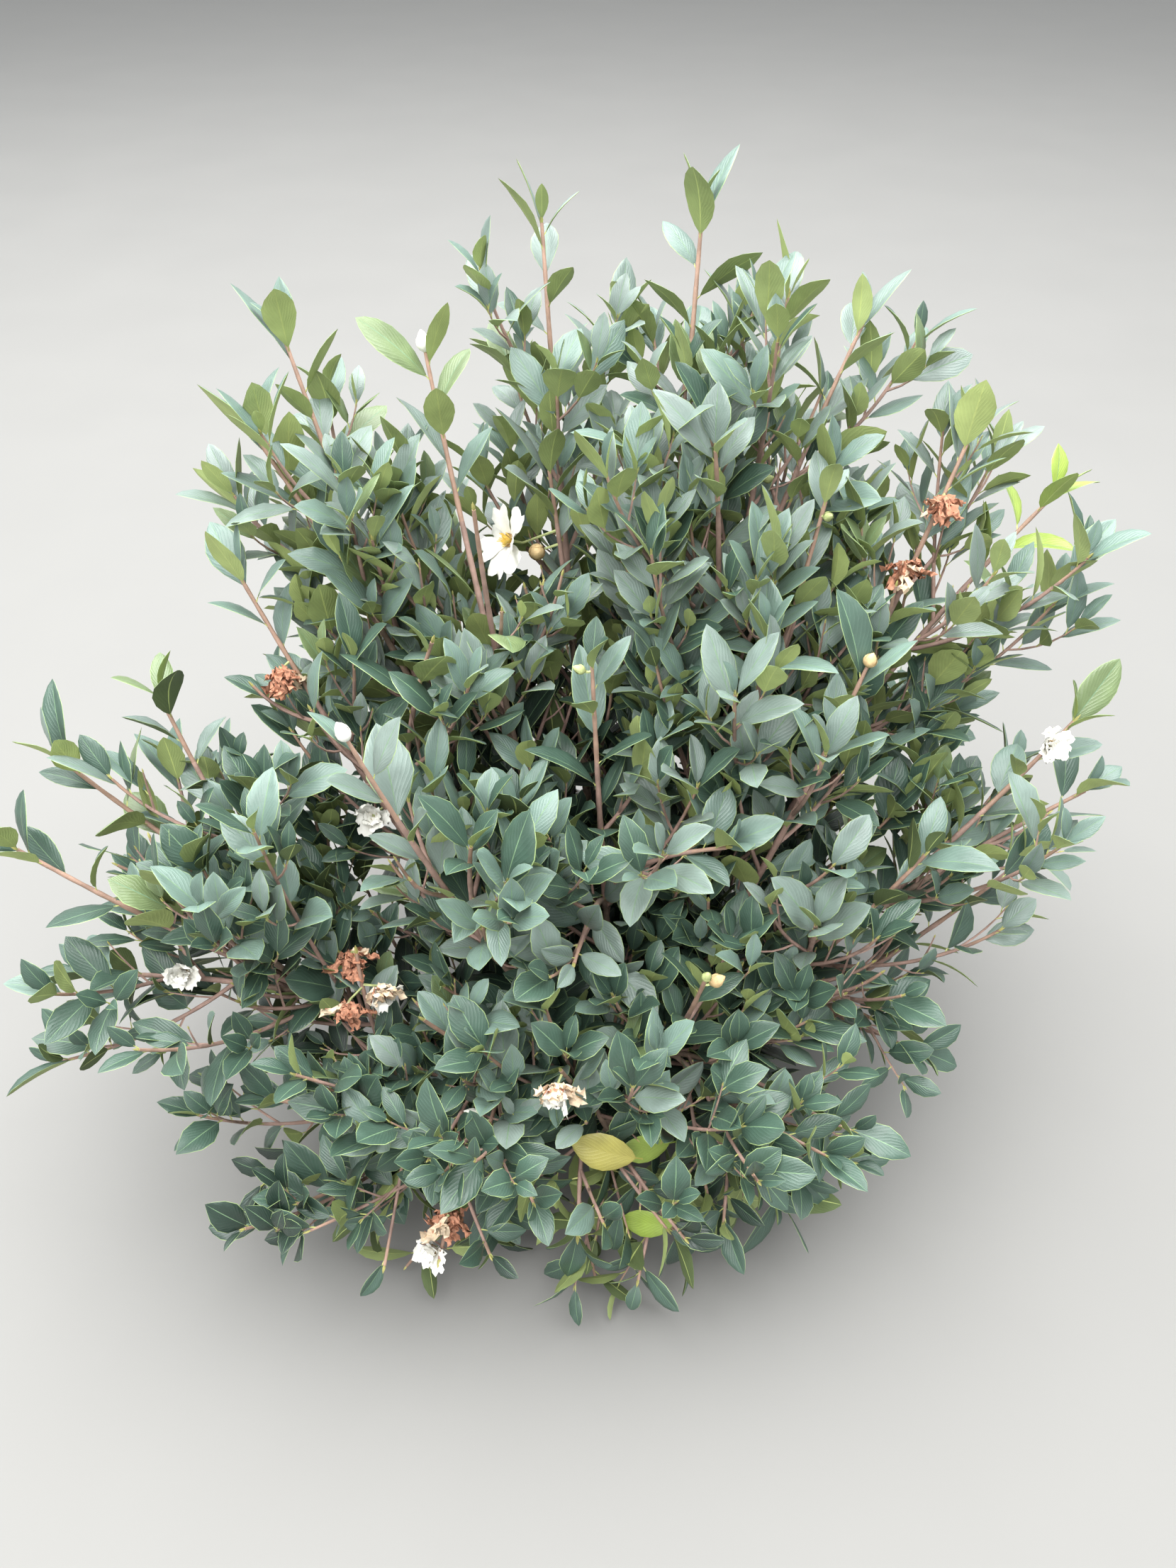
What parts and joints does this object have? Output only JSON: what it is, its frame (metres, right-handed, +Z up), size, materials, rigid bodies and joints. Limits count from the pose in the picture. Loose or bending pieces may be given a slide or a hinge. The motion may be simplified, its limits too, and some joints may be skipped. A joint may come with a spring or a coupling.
{
  "type": "oil tea camellia seedling",
  "caption": "Bushy young evergreen shrub, forked at the ground into upright leafy shoots with white flowers, rooted at a flat cut under its stock.",
  "frame": {"origin": "middle of the flat cut under the stock, at ground level", "axes": "+Z up, +Y towards the back of the bush, where the crown leans, and +X to its right as seen from the front"},
  "size_m": [1.1631, 0.9097, 0.9191],
  "materials": {
    "bark": "matte grey-brown bark, redder on young shoots",
    "leaf": "leathery, with a soft gloss above and paler olive below",
    "flower": "soft matte petals, brown where dried"
  },
  "bodies": {
    "root": {"stock": "bark", "bough_centre": "bark", "bough_front_left_upright": "bark", "bough_left_tall": "bark", "bough_left_centre_tall": "bark", "bough_back_left_tall": "bark", "bough_back_right_tall": "bark", "bough_right_centre_tall": "bark", "bough_right_upright": "bark", "bough_front_right_upright": "bark", "bough_front_left": "bark", "bough_left_low": "bark", "bough_left_outer": "bark", "bough_left_middle": "bark", "bough_back_left": "bark", "bough_back": "bark", "bough_back_right": "bark", "bough_right_tall": "bark", "bough_right_outer": "bark", "bough_right_front": "bark", "bough_front_right": "bark", "bough_front": "bark", "bough_front_left_low": "bark", "bough_back_left_low": "bark", "bough_back_right_low": "bark", "bough_right_low": "bark", "foliage_centre": "leaf", "foliage_front_left_upright": "leaf", "foliage_left_tall": "leaf", "foliage_left_centre_tall": "leaf", "foliage_back_left_tall": "leaf", "foliage_back_right_tall": "leaf", "foliage_right_centre_tall": "leaf", "foliage_right_upright": "leaf", "foliage_front_right_upright": "leaf", "foliage_front_left": "leaf", "foliage_left_low": "leaf", "foliage_left_outer": "leaf", "foliage_left_middle": "leaf", "foliage_back_left": "leaf", "foliage_back": "leaf", "foliage_back_right": "leaf", "foliage_right_tall": "leaf", "foliage_right_outer": "leaf", "foliage_right_front": "leaf", "foliage_front_right": "leaf", "foliage_front": "leaf", "foliage_front_left_low": "leaf", "foliage_back_left_low": "leaf", "foliage_back_right_low": "leaf", "foliage_right_low": "leaf"}
  },
  "joints": []
}
